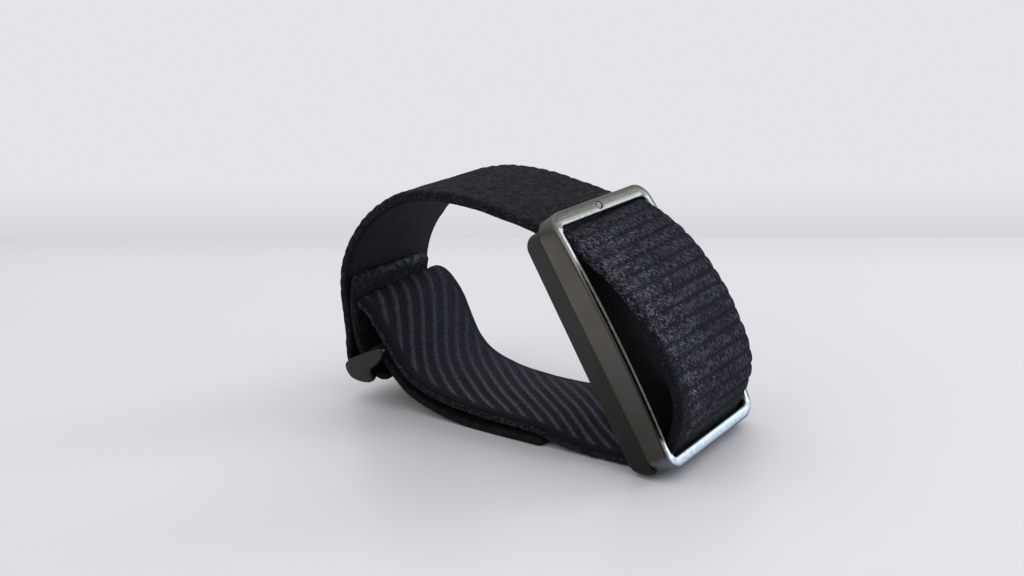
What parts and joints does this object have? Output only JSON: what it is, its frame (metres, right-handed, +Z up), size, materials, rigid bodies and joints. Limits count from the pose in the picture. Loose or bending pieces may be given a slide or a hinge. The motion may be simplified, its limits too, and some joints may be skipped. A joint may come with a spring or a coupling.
{
  "type": "fitness tracker band",
  "caption": "Screenless fitness tracker: a slim sensor pod in a hinged metal clasp on a ribbed knit strap with a slide adjuster.",
  "frame": {"origin": "middle of the band's bounding box at its lowest level, on the surface it stands on", "axes": "+Z up, X along the loop from the adjuster (-X) to the clasp (+X), Y across the strap's width"},
  "size_m": [0.0784, 0.029, 0.0446],
  "materials": {
    "knit": "dense ribbed knit webbing, matt, near black with a grey fleck",
    "gunmetal": "fine satin gunmetal coating, lighter on the polished front edges",
    "pod_shell": "matt moulded shell, dark grey-green",
    "lens": "dark polished optical window",
    "inlay": "small polished inlay",
    "steel": "fine ground steel",
    "seal_rubber": "silicone gasket, brick red",
    "black_plastic": "moulded black",
    "circuit_board": "solder mask green",
    "connector": "natural moulded connector",
    "led": "clear epoxy",
    "photodiode": "dark epoxy",
    "battery_foil": "foil pouch, satin",
    "foam": "adhesive foam",
    "copper": "copper and gilt contacts",
    "ferrite": "sintered ferrite, dark"
  },
  "bodies": {
    "band": {"strap_band": "knit", "anchor_strap": "knit", "pod_bottom_case": "pod_shell", "pod_top_case": "pod_shell", "optical_window": "lens", "hinge_pin_near": "steel", "hinge_pin_far": "steel", "latch_spring_near": "steel", "latch_spring_far": "steel", "motor_case": "steel", "motor_shaft": "steel", "case_seal": "seal_rubber", "light_baffle": "black_plastic", "mcu_chip": "black_plastic", "memory_chip": "black_plastic", "power_chip": "black_plastic", "motion_sensor_chip": "black_plastic", "sensor_board": "circuit_board", "main_board": "circuit_board", "board_connector": "connector", "led_green_a": "led", "led_green_b": "led", "led_green_c": "led", "led_red": "led", "led_infrared": "led", "photodiode_a": "photodiode", "photodiode_b": "photodiode", "photodiode_c": "photodiode", "photodiode_d": "photodiode", "battery_cell": "battery_foil", "battery_pad": "foam", "charging_coil": "copper", "battery_lead": "copper", "antenna": "copper", "temperature_probe": "copper", "ferrite_sheet": "ferrite"},
    "clasp": {"clasp_frame": "gunmetal", "index_dot": "inlay"},
    "adjuster": {"adjuster_frame": "gunmetal", "adjuster_bar": "gunmetal"},
    "rotor": {"motor_rotor": "steel"}
  },
  "joints": [
    {"name": "clasp_hinge", "type": "hinge", "parent": "band", "child": "clasp", "pos_m": [0.01431, 0, 0.03803], "axis": [0, -1, 0], "range_deg": [0, 60]},
    {"name": "adjuster_rock", "type": "hinge", "parent": "band", "child": "adjuster", "pos_m": [-0.02988, 0, 0.0099], "axis": [0, 1, 0], "range_deg": [-3, 3]},
    {"name": "motor_spin", "type": "hinge", "parent": "band", "child": "rotor", "pos_m": [0.03, -0.0076, 0.009], "axis": [0.8854, 0, 0.4648], "continuous": true}
  ]
}
